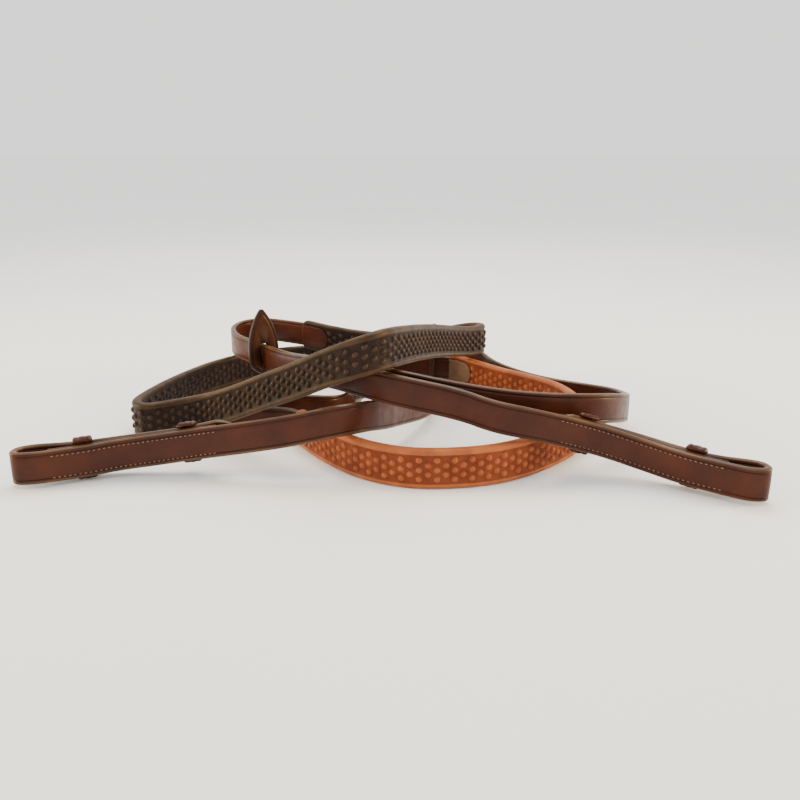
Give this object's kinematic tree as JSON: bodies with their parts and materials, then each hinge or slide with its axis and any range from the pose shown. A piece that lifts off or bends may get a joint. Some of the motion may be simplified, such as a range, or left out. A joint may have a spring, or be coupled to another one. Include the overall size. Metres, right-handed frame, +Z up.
{
  "type": "riding reins with rubber grips",
  "caption": "Leather riding reins lying on edge in loose loops, with pimpled rubber grips, leaf-shaped rein stops and turned-back bit ends. The hook studs and the centre buckle are assumed.",
  "frame": {"origin": "on the floor, under the middle of the pile's bounding box", "axes": "+X to the right along the row of loops, +Y away from the viewer's side, +Z up; the straps stand on edge"},
  "size_m": [0.3543, 0.2448, 0.0735],
  "materials": {
    "leather": "waxed dark brown bridle leather",
    "dark_rubber": "matt, moulded with small round pimples",
    "orange_rubber": "matt, moulded with small round pimples",
    "metal": "polished"
  },
  "bodies": {
    "reins": {"buckle_frame": "metal", "left_chape": "leather", "left_front_tab_left_face": "leather", "left_front_tab_right_face": "leather", "left_grip": "orange_rubber", "left_hook_stud": "metal", "left_inner_keeper": "leather", "left_outer_keeper": "leather", "left_rear_tab_left_face": "leather", "left_rear_tab_right_face": "leather", "left_strap": "leather", "right_chape": "leather", "right_front_tab_left_face": "leather", "right_front_tab_right_face": "leather", "right_grip": "dark_rubber", "right_hook_stud": "metal", "right_inner_keeper": "leather", "right_outer_keeper": "leather", "right_rear_tab_left_face": "leather", "right_rear_tab_right_face": "leather", "right_strap": "leather"},
    "right_stop": {"right_rein_stop": "leather"},
    "left_stop": {"left_rein_stop": "leather"},
    "tongue": {"buckle_tongue": "metal"}
  },
  "joints": [
    {"name": "right_stop_slide", "type": "slide", "parent": "reins", "child": "right_stop", "axis": [-0.5544, 0.8315, -0.0347], "range_m": [-0.003, 0.003]},
    {"name": "left_stop_slide", "type": "slide", "parent": "reins", "child": "left_stop", "axis": [0.9921, -0.124, -0.0177], "range_m": [-0.003, 0.003]},
    {"name": "tongue_hinge", "type": "hinge", "parent": "reins", "child": "tongue", "pos_m": [0.0453, 0.1186, 0.0122], "axis": [0, 0, 1], "range_deg": [0, 60]}
  ]
}
